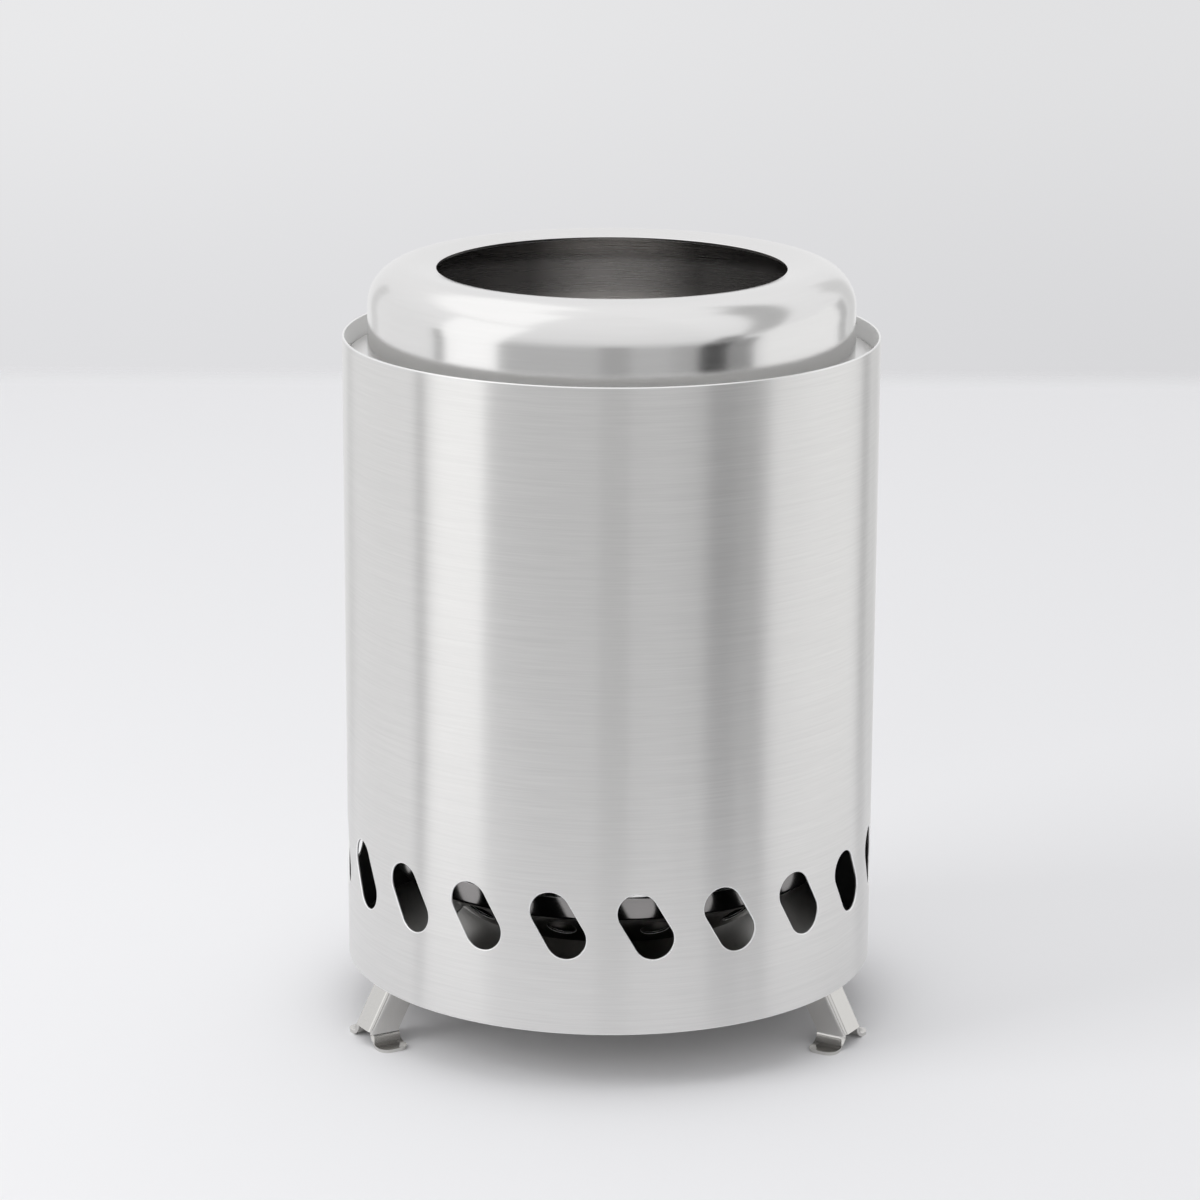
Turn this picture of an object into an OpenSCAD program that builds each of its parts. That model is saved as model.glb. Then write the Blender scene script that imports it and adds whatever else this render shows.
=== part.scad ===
// Double-walled twig stove on a low three-legged stand, with a lift-off domed flame ring.
// Millimetres. The floor is z = 0, the front faces -Y, and the origin is the middle of the
// footprint's box. The back foot reaches further than the wall, so the stove's axis stands
// a little in front of the origin.

/* [Outer wall] */
// Outside diameter of the outer wall
wall_d = 130; // [128:0.5:140]
// Height of the outer wall
wall_h = 156; // [130:1:190]
// Thickness of the outer wall's sheet
wall_t = 0.6; // [0.5:0.1:1]

/* [Vent slots] */
// Number of slots round the outer wall
vent_count = 19; // [8:1:19]
// Width of a slot
vent_w = 9.6; // [6:0.2:11]
// Length of a slot, end to end
vent_len = 17.1; // [12:0.1:22]
// Lean of a slot, its top towards the left
vent_tilt = 30; // [0:1:40]
// Height of the slots' centres above the wall's lower edge
vent_z = 26.8; // [20:0.2:40]
// Width of the blank strip at the back that holds the wall's seam
seam_strip_w = 11.3; // [5:0.1:30]
// Turn of the middle slot from the front, negative towards the left
vent_turn = -10.6; // [-18:0.1:18]

/* [Fire chamber] */
// Gap between the outer wall and the inner wall
chamber_gap = 11; // [10:0.2:14]
// Thickness of the inner wall's sheet
chamber_t = 0.5; // [0.4:0.1:0.8]
// Number of secondary air holes
air_count = 30; // [12:1:36]
// Diameter of a secondary air hole
air_d = 4.5; // [3:0.5:6]
// Distance of the air holes below the gutter's floor
air_drop = 12; // [10:0.5:20]

/* [Gutter] */
// Depth of the gutter's floor below the rim
gutter_drop = 4.6; // [3:0.1:8]
// Thickness of the gutter's sheet
gutter_t = 0.6; // [0.5:0.1:1]
// Height of the gutter's two turned-down flanges
gutter_flange = 4; // [3:0.5:6]

/* [Flame ring] */
// Gap between the outer wall and the flame ring's side
dome_gap = 5.5; // [4:0.1:7.5]
// Distance from the flame ring's side to the lip of its mouth
mouth_inset = 16.7; // [15:0.1:21]
// Height of the flame ring's crest above the rim
dome_rise = 17; // [13:0.5:24]
// Thickness of the flame ring's sheet
dome_t = 0.8; // [0.6:0.1:1]
// Outside radius of the shoulder
shoulder_r = 9.9; // [8:0.1:11]
// Outside radius of the crown that dips from the crest to the mouth
crown_r = 24; // [18:1:40]
// Depth of the spigot below the gutter's floor
spigot_h = 6; // [4:0.5:8]
// Height of the weld flange inside the flame ring
weld_flange_h = 1.6; // [1.2:0.1:3]

/* [Ember cup] */
// Width of the cup's cone, between its flat bottom and its ledge
cup_cone_w = 11.9; // [10:0.1:14]
// Width of the ledge that carries the inner wall and the grate
cup_ledge_w = 4; // [3:0.1:5]
// Height of the cup's underside above the wall's lower edge
cup_z = 13.5; // [10:0.5:16]
// Height of the cup's ledge above its underside
cup_ledge_h = 10.5; // [9:0.5:13]
// Height of the cup's rim above its ledge
cup_rim_h = 5.6; // [4:0.2:8]
// Thickness of the cup's sheet
cup_t = 0.6; // [0.5:0.1:0.8]
// Outside radius of the bend under the cup's rim
cup_bend_r = 1.4; // [1:0.1:2]
// Number of primary air holes in the cup's cone
draught_count = 12; // [8:1:16]
// Diameter of a primary air hole
draught_d = 7; // [5:0.5:9]

/* [Grate and ash pan] */
// Height of the grate's top above the cup's ledge
grate_h = 4.5; // [4:0.5:8]
// Thickness of the grate's sheet
grate_t = 0.8; // [0.6:0.1:1.2]
// Diameter of a hole in the grate
grate_hole_d = 5; // [3:0.5:6]
// Distance between the rings of holes
grate_pitch = 9.6; // [9:0.2:10]
// Gap between the ash pan's floor and the edge of the cup's floor
pan_gap = 3.6; // [1:0.2:10]
// Spread of the ash pan's side, from its floor to its mouth
pan_spread = 3; // [1:0.5:5]
// Height of the ash pan
pan_h = 7; // [5:0.5:8]
// Thickness of the ash pan's sheet
pan_t = 0.6; // [0.5:0.1:0.8]

/* [Base plate] */
// Height of the base plate's underside above the wall's lower edge
base_recess = 3; // [2:0.5:4]
// Thickness of the base plate's sheet
base_t = 0.6; // [0.5:0.1:1]
// Height of the base plate's flange edge above the wall's lower edge
base_edge_z = 1.4; // [1.2:0.1:1.6]
// Gap between the stand's ring and the base plate's raised middle
base_raise_gap = 9.5; // [5:0.5:20]
// Height of the raised middle
base_raise_h = 1.5; // [0.5:0.5:3]

/* [Stand] */
// Height of the outer wall's lower edge above the floor
stand_h = 13.6; // [11:0.2:20]
// Width of the stand's ring
hoop_w = 12.8; // [10:0.2:18]
// Thickness of the stand's ring
hoop_t = 0.8; // [0.6:0.1:1.2]
// Height of the ring's turned-down inner flange
hoop_flange = 3.5; // [2:0.5:5]
// Lean of a leg from upright
leg_splay = 28; // [20:1:32]
// Width of a leg
leg_w = 8; // [7:0.5:12]
// Depth of a leg's two side plates
leg_depth = 8.2; // [6:0.2:9]
// Thickness of a leg's sheet
leg_t = 0.8; // [0.6:0.1:1.2]
// Outside radius of the two bends along a leg
leg_bend_r = 1.2; // [1.2:0.1:2]
// Outside radius of a foot's curl
curl_r = 3.5; // [2.5:0.1:4.5]
// Reach of a foot beyond its side plate
foot_reach = 6; // [5:0.1:9]
// Radius of a foot's two outer corners
foot_corner_r = 2.6; // [1:0.1:2.8]
// Length of the tab that joins a leg to the ring
tab_len = 9; // [6:0.5:9]

/* [Fits] */
// Gap at a seam that is welded or pressed together
seam_gap = 0.1; // [0.05:0.05:0.2]
// Gap round a piece that lifts out
lift_gap = 0.4; // [0.3:0.1:0.8]

/* [Hidden] */

steel = "#c9c9c7";
dull_steel = "#a9a7a3";
inner_steel = "#8f8a85";
$fn = 96;
eps = 0.5;
// length of the cutters that pierce a sheet
cutter_len = 8;

wall_r = wall_d / 2;
wall_in_r = wall_r - wall_t;
vent_step = (360 - seam_strip_w / wall_r * 180 / PI) / vent_count;
chamber_r = wall_in_r - chamber_gap;
chamber_in_r = chamber_r - chamber_t;
dome_r = wall_in_r - dome_gap;
mouth_r = dome_r - mouth_inset;
cup_ledge_r = chamber_r + seam_gap - cup_ledge_w;
cup_floor_r = cup_ledge_r - cup_cone_w;
cup_slope = atan2(cup_ledge_h, cup_cone_w);
leg_r = wall_in_r - lift_gap;
base_r = wall_in_r - seam_gap;

// heights above the floor
wall_z = stand_h;
base_z = wall_z + base_recess;
hoop_z = base_z - hoop_t;
cup_bottom_z = wall_z + cup_z;
cup_floor_z = cup_bottom_z + cup_t;
ledge_z = cup_bottom_z + cup_ledge_h + cup_t;
rim_z = wall_z + wall_h;
gutter_z = rim_z - gutter_drop;
crest_z = rim_z + dome_rise;

// radius of a leg's outer face at a height above the floor
function leg_face_r(z) = leg_r - (z - wall_z) * tan(leg_splay);

hoop_r = min(leg_face_r(hoop_z), base_r - base_t - lift_gap);
hoop_hole_r = hoop_r - hoop_w;
axis_y = -(leg_face_r(curl_r) - wall_r) / 2;

// puts a piece of the stove, drawn round the Z axis, on the stove's own axis
module on_axis() {
    translate([0, axis_y, 0]) children();
}

// a ring with a rectangular section, from radius r1 to r2
module band(r1, r2, h) {
    difference() {
        cylinder(r = r2, h = h);
        translate([0, 0, -eps]) cylinder(r = r1, h = h + 2 * eps);
    }
}

// a slot's outline: a straight middle between two round ends
module slot_outline(w, len) {
    square([w, len - w], center = true);
    for (side = [-1, 1]) translate([0, side * (len - w) / 2]) circle(d = w);
}

// the rolled outer wall, with leaning slots that leave a blank strip for its seam
module outer_wall() {
    color(steel) on_axis() difference() {
        translate([0, 0, wall_z]) band(wall_in_r, wall_r, wall_h);
        for (i = [0 : vent_count - 1])
            rotate([0, 0, vent_turn + (i - floor(vent_count / 2)) * vent_step])
                translate([0, -wall_r, wall_z + vent_z])
                    rotate([90, 0, 0])
                        linear_extrude(cutter_len, center = true)
                            rotate(vent_tilt) slot_outline(vent_w, vent_len);
    }
}

// the plate that closes the bottom, with a raised middle and a flange welded inside the wall
module base_plate() {
    r = base_r;
    step_r = hoop_hole_r - base_raise_gap;
    raise_r = step_r - base_raise_h;
    color(dull_steel) on_axis() {
        translate([0, 0, base_z])
            rotate_extrude()
                polygon([
                    [0, base_raise_h], [raise_r, base_raise_h], [step_r, 0], [r, 0],
                    [r, base_t], [step_r, base_t], [raise_r, base_raise_h + base_t], [0, base_raise_h + base_t]
                ]);
        translate([0, 0, wall_z + base_edge_z]) band(r - base_t, r, base_recess - base_edge_z);
    }
}

// the fire chamber's tube, with a row of secondary air holes near its top
module inner_wall() {
    color(inner_steel) on_axis() difference() {
        translate([0, 0, ledge_z]) band(chamber_in_r, chamber_r, gutter_z - ledge_z);
        for (i = [0 : air_count - 1])
            rotate([0, 0, (i + 0.5) * 360 / air_count])
                translate([chamber_r, 0, gutter_z - air_drop])
                    rotate([0, 90, 0]) cylinder(d = air_d, h = cutter_len, center = true);
    }
}

// the pressed ring that joins the two walls and forms the gutter's floor
module gutter_ring() {
    inner_r = chamber_r + seam_gap;
    outer_r = wall_in_r - seam_gap;
    color(steel) on_axis() {
        translate([0, 0, gutter_z - gutter_t]) band(inner_r, outer_r, gutter_t);
        translate([0, 0, gutter_z - gutter_t - gutter_flange]) {
            band(inner_r, inner_r + gutter_t, gutter_flange);
            band(outer_r - gutter_t, outer_r, gutter_flange);
        }
    }
}

// the cup's section, its outside drawn in by a sheet's thickness where inset is set
module cup_section(inset) {
    rim_r = chamber_r + seam_gap + cup_t - inset;
    draw_in = inset * tan(cup_slope / 2);
    top = cup_ledge_h + cup_t + cup_rim_h + (inset > 0 ? eps : 0);
    difference() {
        polygon([
            [0, inset], [cup_floor_r - draw_in, inset], [cup_ledge_r - draw_in, cup_ledge_h + inset],
            [rim_r, cup_ledge_h + inset], [rim_r, top], [0, top]
        ]);
        if (inset == 0)
            translate([rim_r - cup_bend_r, cup_ledge_h + cup_bend_r])
                difference() {
                    translate([0, -cup_bend_r - eps]) square([cup_bend_r + eps, cup_bend_r + eps]);
                    circle(r = cup_bend_r);
                }
    }
}

// the pressed cup that closes the chamber, with primary air holes through its cone
module ember_cup() {
    color(dull_steel) on_axis() translate([0, 0, cup_bottom_z]) difference() {
        rotate_extrude() difference() {
            cup_section(0);
            cup_section(cup_t);
        }
        for (i = [0 : draught_count - 1])
            rotate([0, 0, (i + 0.5) * 360 / draught_count])
                translate([(cup_floor_r + cup_ledge_r) / 2, 0, cup_ledge_h / 2])
                    rotate([0, -cup_slope, 0])
                        cylinder(d = draught_d, h = cutter_len, center = true);
    }
}

// the shallow pan that stands on the cup's floor and lifts out with the ash
module ash_pan() {
    floor_r = cup_floor_r - pan_gap;
    brim_r = floor_r + pan_spread;
    color(dull_steel) on_axis() translate([0, 0, cup_floor_z])
        rotate_extrude()
            polygon([
                [0, 0], [floor_r, 0], [brim_r, pan_h], [brim_r - pan_t, pan_h],
                [floor_r - pan_t, pan_t], [0, pan_t]
            ]);
}

// the perforated grate, on a skirt that stands on the cup's ledge
module fire_grate() {
    r = chamber_in_r - lift_gap;
    rings = floor((r - grate_t - grate_hole_d) / grate_pitch);
    color(inner_steel) on_axis() translate([0, 0, ledge_z]) {
        band(r - grate_t, r, grate_h - grate_t);
        translate([0, 0, grate_h - grate_t]) difference() {
            cylinder(r = r, h = grate_t);
            translate([0, 0, -eps]) cylinder(d = grate_hole_d, h = grate_t + 2 * eps);
            for (k = [1 : rings])
                for (i = [0 : 6 * k - 1])
                    rotate([0, 0, i * 60 / k])
                        translate([k * grate_pitch, 0, -eps])
                            cylinder(d = grate_hole_d, h = grate_t + 2 * eps);
        }
    }
}

// the spun flame ring: an upright wall, a round shoulder and a crown that dips to the mouth
module flame_ring() {
    crest_r = dome_r - shoulder_r;
    color(steel) on_axis() rotate_extrude() {
        translate([dome_r - dome_t, gutter_z]) square([dome_t, crest_z - shoulder_r - gutter_z]);
        translate([crest_r, crest_z - shoulder_r]) intersection() {
            difference() {
                circle(r = shoulder_r);
                circle(r = shoulder_r - dome_t);
            }
            square(shoulder_r + eps);
        }
        translate([crest_r, crest_z - crown_r]) intersection() {
            difference() {
                circle(r = crown_r);
                circle(r = crown_r - dome_t);
            }
            translate([mouth_r - crest_r, 0]) square([crest_r - mouth_r, crown_r + eps]);
        }
    }
}

// the stepped collar welded inside the flame ring, whose spigot centres it in the chamber
module ring_collar() {
    flange_r = dome_r - dome_t - seam_gap;
    spigot_r = chamber_in_r - lift_gap;
    color(dull_steel) on_axis() {
        translate([0, 0, gutter_z - spigot_h]) band(spigot_r - dome_t, spigot_r, spigot_h);
        translate([0, 0, gutter_z]) band(spigot_r - dome_t, flange_r, dome_t);
        translate([0, 0, gutter_z]) band(flange_r - dome_t, flange_r, weld_flange_h);
    }
}

// the flat ring that the stove rests on, with a turned-down inner flange
module stand_ring() {
    color(dull_steel) on_axis() {
        translate([0, 0, hoop_z]) band(hoop_hole_r, hoop_r, hoop_t);
        translate([0, 0, hoop_z - hoop_flange]) band(hoop_hole_r, hoop_hole_r + hoop_t, hoop_flange);
    }
}

// a channel's section, open towards -X, with its web's outer face on x = 0
module channel_section(depth) {
    module filled(inset) {
        r = leg_bend_r - inset;
        half = leg_w / 2 - inset;
        translate([-depth - eps, -half]) square([depth + eps - inset - r, 2 * half]);
        translate([-depth - eps, -half + r]) square([depth + eps - inset, 2 * (half - r)]);
        for (side = [-1, 1]) translate([-leg_bend_r, side * (half - r)]) circle(r = r, $fn = 48);
    }
    intersection() {
        difference() {
            filled(0);
            filled(leg_t);
        }
        translate([-depth, -leg_w]) square([depth + eps, 2 * leg_w]);
    }
}

// the section of a foot's curl, which turns a side plate outwards onto the floor
module curl_section() {
    translate([0, curl_r]) intersection() {
        difference() {
            circle(r = curl_r, $fn = 48);
            circle(r = curl_r - leg_t, $fn = 48);
        }
        translate([-curl_r - eps, -curl_r - eps]) square(curl_r + eps);
    }
}

// a foot's flat lip in plan, with its two outer corners rounded
module lip_outline(depth, reach) {
    r = min(foot_corner_r, reach - leg_t / 2);
    square([depth, reach - r]);
    translate([r, 0]) square([depth - 2 * r, reach]);
    for (x = [r, depth - r]) translate([x, reach - r]) circle(r = r, $fn = 48);
}

// one leg along +X: a leaning channel, a tab under the ring and two curled feet
module leg() {
    plate_depth = leg_depth * cos(leg_splay);
    foot_depth = leg_depth - leg_bend_r / 2;
    curl_y = leg_w / 2 - leg_t + curl_r;
    foot_r = leg_face_r(curl_r);
    top_r = leg_face_r(hoop_z);
    color(steel) {
        intersection() {
            translate([leg_r, 0, wall_z])
                rotate([0, -leg_splay, 0])
                    linear_extrude(4 * stand_h, center = true) channel_section(plate_depth);
            translate([0, -leg_w, curl_r]) cube([wall_d, 2 * leg_w, hoop_z - curl_r]);
        }
        for (side = [0, 1])
            mirror([0, side, 0])
                translate([foot_r - leg_depth, curl_y, 0]) {
                    rotate([90, 0, 90]) linear_extrude(foot_depth) curl_section();
                    linear_extrude(leg_t) lip_outline(foot_depth, leg_w / 2 + foot_reach - curl_y);
                }
        translate([top_r - tab_len, -leg_w / 2 + leg_t, hoop_z - leg_t])
            cube([tab_len - leg_t, leg_w - 2 * leg_t, leg_t]);
    }
}

// turns a leg to an angle from the front, positive towards the right
module placed_leg(angle) {
    on_axis() rotate([0, 0, angle - 90]) leg();
}

module leg_left() {
    placed_leg(-60);
}

module leg_right() {
    placed_leg(60);
}

module leg_back() {
    placed_leg(180);
}

stand_ring();
leg_left();
leg_right();
leg_back();
outer_wall();
base_plate();
inner_wall();
gutter_ring();
ember_cup();
ash_pan();
fire_grate();
flame_ring();
ring_collar();
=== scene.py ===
"""Looks of a double-walled twig stove on a three-legged stand, with its studio.

Every piece is sheet steel. Each is worked out as the middle surface of its sheet, from a profile or a
grid of two parameters, and then gets the sheet's thickness and its deburred edges. Lengths are in metres.
"""

import math

import bmesh
import bpy
import numpy as np
from bpy.props import FloatProperty, FloatVectorProperty, IntProperty, PointerProperty
from mathutils import Matrix, Vector


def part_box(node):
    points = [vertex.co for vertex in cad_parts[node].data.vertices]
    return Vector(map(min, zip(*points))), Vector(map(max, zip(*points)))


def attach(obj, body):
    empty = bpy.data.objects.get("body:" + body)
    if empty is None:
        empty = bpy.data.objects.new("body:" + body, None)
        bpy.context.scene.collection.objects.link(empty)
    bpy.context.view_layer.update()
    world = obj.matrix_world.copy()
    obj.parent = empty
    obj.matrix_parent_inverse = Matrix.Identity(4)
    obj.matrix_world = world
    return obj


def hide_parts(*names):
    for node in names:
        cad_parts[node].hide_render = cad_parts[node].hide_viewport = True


bl_info = {
    "name": "Twig stove",
    "version": (1, 0, 0),
    "blender": (4, 5, 0),
    "location": "3D View > Sidebar > Twig stove",
    "description": "Makes the sheet-steel pieces of a twig stove and the studio that it stands in",
    "category": "Add Mesh",
}

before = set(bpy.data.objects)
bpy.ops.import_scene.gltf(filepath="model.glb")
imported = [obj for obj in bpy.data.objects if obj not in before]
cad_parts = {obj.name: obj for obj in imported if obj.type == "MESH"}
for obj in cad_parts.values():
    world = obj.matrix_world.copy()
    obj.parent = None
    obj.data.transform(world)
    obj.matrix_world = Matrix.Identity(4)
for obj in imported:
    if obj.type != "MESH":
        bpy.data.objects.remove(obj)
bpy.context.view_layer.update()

WALL_LOW, WALL_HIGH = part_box("outer_wall")
AXIS_Y = (WALL_LOW.y + WALL_HIGH.y) / 2
MM = 0.001
WELD = 1e-6  # points closer than this are one
REST_GAP = 0.001 * MM  # each face lies this far inside its sheet, so faces that rest together never cross


def outer_radius(node):
    """Radius of a round node, from its box."""
    low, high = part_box(node)
    return (high.x - low.x) / 2


def length(name, default, description):
    """A property that holds a length, in metres, given in millimetres."""
    return FloatProperty(name=name, description=description, default=default * MM, unit="LENGTH", precision=5)


def angle(name, default, description):
    """A property that holds an angle, given in degrees."""
    return FloatProperty(name=name, description=description, default=math.radians(default), unit="ROTATION")


def colour(name, default, description):
    """A property that holds a linear colour."""
    return FloatVectorProperty(
        name=name, description=description, default=default, subtype="COLOR", min=0, max=1,
    )


def share(name, default, description, high=1.0):
    """A property that holds a plain number from 0 up."""
    return FloatProperty(name=name, description=description, default=default, min=0, max=high)


class WallSizes(bpy.types.PropertyGroup):
    """Sizes of the outer wall."""

    sheet: length("Sheet", 0.6, "Thickness of the outer wall's sheet")
    slot_count: IntProperty(name="Slots", description="Number of vent slots", default=19, min=3)
    slot_width: length("Slot width", 9.6, "Width of a slot")
    slot_length: length("Slot length", 17.1, "Length of a slot, end to end")
    slot_lean: angle("Slot lean", 30, "Lean of a slot, its top towards the left")
    slot_height: length("Slot height", 26.8, "Height of the slots' centres above the wall's lower edge")
    slot_turn: angle("Slot turn", -10.6, "Turn of the middle slot from the front")
    slot_edge: length("Slot edge", 0.30, "Width of the rounded edge of the slots and the rim")
    cell_height: length("Cell height", 21, "Height of the band that the slots are cut in")
    seam_strip: length("Seam strip", 11.3, "Width of the blank strip at the back")
    seam_width: length("Seam width", 1.4, "Width of the ground weld in the blank strip")
    seam_height: length("Seam height", 0.06, "Height of the ground weld")


class ChamberSizes(bpy.types.PropertyGroup):
    """Sizes of the inner wall and the gutter."""

    sheet: length("Sheet", 0.5, "Thickness of the inner wall's sheet")
    hole_count: IntProperty(name="Air holes", description="Number of secondary air holes", default=30, min=3)
    hole_width: length("Air hole", 4.5, "Diameter of an air hole")
    hole_drop: length("Air hole drop", 12, "Distance of the air holes below the gutter's floor")
    cell_height: length("Cell height", 9, "Height of the band that the air holes are cut in")
    gutter_sheet: length("Gutter sheet", 0.6, "Thickness of the gutter's sheet")
    gutter_bend: length("Gutter bend", 1.0, "Middle radius of the gutter's two bends")
    inner_gap: length("Inner gap", 0.1, "Gap between the inner wall and what is welded round it")


class CupSizes(bpy.types.PropertyGroup):
    """Sizes of the ember cup."""

    sheet: length("Sheet", 0.6, "Thickness of the cup's sheet")
    ledge_width: length("Ledge width", 4, "Width of the ledge that carries the inner wall")
    ledge_height: length("Ledge height", 10.5, "Height of the ledge above the cup's underside")
    cone_width: length("Cone width", 11.9, "Width of the cone between the flat bottom and the ledge")
    rim_bend: length("Rim bend", 1.1, "Middle radius of the bend under the rim")
    soft_bend: length("Soft bend", 2.5, "Middle radius of the cone's two bends")
    hole_count: IntProperty(name="Draught holes", description="Number of draught holes", default=12, min=3)
    hole_width: length("Draught hole", 7, "Diameter of a draught hole")
    cell_length: length("Cell length", 10, "Length of the band up the cone that the holes are cut in")


class RingSizes(bpy.types.PropertyGroup):
    """Sizes of the flame ring and its collar."""

    sheet: length("Sheet", 0.8, "Thickness of the flame ring's sheet")
    mouth_inset: length("Mouth inset", 16.7, "Distance from the flame ring's side to the lip of its mouth")
    shoulder: length("Shoulder", 9.9, "Outside radius of the shoulder")
    crown: length("Crown", 24, "Outside radius of the crown that dips to the mouth")
    collar_bend: length("Collar bend", 0.9, "Middle radius of the collar's two bends")
    collar_inset: length("Collar inset", 5.5, "Distance from the collar's flange to its spigot")


class FirePieceSizes(bpy.types.PropertyGroup):
    """Sizes of the grate, the ash pan and the base plate."""

    grate_sheet: length("Grate sheet", 0.8, "Thickness of the grate's sheet")
    grate_hole: length("Grate hole", 5, "Diameter of a hole in the grate")
    grate_pitch: length("Grate pitch", 9.6, "Distance between the rings of holes")
    grate_bend: length("Grate bend", 1.2, "Middle radius of the grate's edge")
    pan_sheet: length("Pan sheet", 0.6, "Thickness of the ash pan's sheet")
    pan_spread: length("Pan spread", 3, "Spread of the ash pan's side")
    pan_bend: length("Pan bend", 2, "Middle radius of the ash pan's bend")
    base_sheet: length("Base sheet", 0.6, "Thickness of the base plate's sheet")
    base_raise: length("Base raise", 1.5, "Height of the base plate's raised middle")
    base_raise_gap: length("Base gap", 9.5, "Gap between the stand's ring and the raised middle")
    base_bend: length("Base bend", 0.9, "Middle radius of the base plate's edge")


class StandSizes(bpy.types.PropertyGroup):
    """Sizes of the stand's ring and legs."""

    ring_sheet: length("Ring sheet", 0.8, "Thickness of the ring's sheet")
    ring_width: length("Ring width", 12.8, "Width of the ring")
    ring_bend: length("Ring bend", 1.0, "Middle radius of the ring's bend")
    leg_sheet: length("Leg sheet", 0.8, "Thickness of a leg's sheet")
    leg_splay: angle("Leg splay", 28, "Lean of a leg from upright")
    leg_spread: angle("Leg spread", 60, "Turn of a front leg from the front")
    leg_width: length("Leg width", 8, "Width of a leg")
    leg_depth: length("Leg depth", 8.2, "Depth of a leg's two side plates")
    leg_bend: length("Leg bend", 1.2, "Outside radius of the two bends along a leg")
    leg_gap: length("Leg gap", 0.4, "Gap between the wall and a leg")
    curl: length("Foot curl", 3.5, "Outside radius of a foot's curl")
    foot_reach: length("Foot reach", 6, "Reach of a foot beyond its side plate")
    foot_corner: length("Foot corner", 2.6, "Radius of a foot's two outer corners")
    tab_length: length("Tab length", 9, "Length of the tab that joins a leg to the ring")


FINISHES = {  # each finish's label, colour and roughness, and what it is on
    "brushed_wall": ("Wall", (0.78, 0.775, 0.765), 0.30, "the brushed wall"),
    "wall_inside": ("Wall inside", (0.97, 0.97, 0.965), 0.90, "the wall's inner side"),
    "gutter_floor": ("Gutter", (0.88, 0.875, 0.87), 0.35, "the gutter ring's outer side"),
    "chamber_outside": ("Chamber outside", (0.92, 0.915, 0.91), 0.12, "the fire chamber's outer side"),
    # dark as painted shade of the closed space between the walls
    "cup_outside": ("Cup outside", (0.30, 0.29, 0.285), 0.14, "the ember cup's outer side"),
    "spun_dome": ("Dome", (0.80, 0.795, 0.79), 0.19, "the spun flame ring"),
    "dome_inside": ("Dome inside", (0.47, 0.45, 0.44), 0.27, "the flame ring's inner side"),
    "pressed_parts": ("Pressed parts", (0.62, 0.61, 0.59), 0.30, "the pressed parts"),
    "chamber_sheet": ("Chamber", (0.36, 0.35, 0.345), 0.17, "the chamber's sheet"),
    "stand_sheet": ("Stand", (0.66, 0.65, 0.63), 0.12, "the stand's sheet"),
    # brighter than the steel's own colour: a painted highlight on top of the real reflections of the rounded
    # edges
    "cut_edge": ("Cut edge", (0.93, 0.93, 0.925), 0.30, "the bright cut edges"),
}


class FinishValues(bpy.types.PropertyGroup):
    """Colour and polish of each finish."""

    # painted shade of the closed space between the walls, below the gutter
    painted_cavity_shade: share("Cavity shade", 0.12, "How bright the wall's inner side is below the gutter")
    deburr: length("Deburred edge", 0.14, "Width of a sheet's rounded edge")


for slot, (label, tint, rough, whose) in FINISHES.items():
    FinishValues.__annotations__[slot + "_colour"] = colour(label, tint, "Colour of " + whose)
    polish = share(label + " roughness", rough, "Roughness of " + whose)
    FinishValues.__annotations__[slot + "_rough"] = polish


class StageValues(bpy.types.PropertyGroup):
    """The floor, the room's light and the camera."""

    floor_colour: colour("Floor", (0.86, 0.86, 0.875), "Colour of the floor")
    backdrop_low: colour("Backdrop, low", (0.72, 0.72, 0.735), "Colour behind the floor, low down")
    backdrop_high: colour("Backdrop, high", (0.79, 0.79, 0.80), "Colour behind the floor, higher up")
    floor_reach: length("Floor reach", 784, "Half the floor's width and depth")
    floor_fade: length("Floor fade", 45, "Width of the soft border of the floor")
    room_colour: colour("Room", (0.88, 0.88, 0.885), "Colour of the room in reflections")
    front_dim: share("Front dimming", 0.43, "How much darker the room is towards the front")
    front_heading: angle("Front heading", -5, "Middle of the dimmer front, from the front towards the right")
    front_spread: angle("Front spread", 58, "Half the angle that the dimmer front takes up")
    left_heading: angle("Left lamp heading", -67, "Place of the left lamp, from the front towards the right")
    front: share("Front lamp", 0.85, "Radiance of the front lamp", 10)
    left_face: share("Left lamp face", 1.17, "Radiance of the left lamp's face in reflections", 10)
    flag: share("Flag", 0.05, "Radiance of the dark flag in reflections")
    right_wall: share("Right wall", 0.95, "Radiance of the right wall in reflections", 2)
    wall_bounce: share("Wall bounce", 0.75, "Radiance of the light that the wall throws on the floor", 2)
    near_floor: length("Near floor", 120, "Distance up to which reflections see the whole floor")
    far_floor: length("Far floor", 300, "Distance from which reflections see past the floor")
    fill: share("Fill", 0.73, "Strength of the fill light from all round")
    overhead: share("Overhead lamp", 0.52, "Radiance of the overhead lamp", 10)
    left: share("Left lamp", 2.3, "Radiance of the left lamp", 10)
    camera_distance: length("Camera distance", 976.7, "Distance of the camera in front of the stove's axis")
    camera_height: length("Camera height", 361.3, "Height of the camera above the floor")
    camera_lens: FloatProperty(name="Lens", description="Focal length", default=123.37, unit="CAMERA")
    camera_pitch: angle("Camera pitch", 14.83, "How far the camera looks down")
    camera_yaw: angle("Camera yaw", 0.147, "How far the camera looks to the left")
    camera_roll: angle("Camera roll", 0.26, "Roll of the camera")


SIZE_GROUPS = {
    "wall": WallSizes,
    "chamber": ChamberSizes,
    "cup": CupSizes,
    "ring": RingSizes,
    "fire": FirePieceSizes,
    "stand": StandSizes,
    "finish": FinishValues,
    "stage": StageValues,
}


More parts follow.
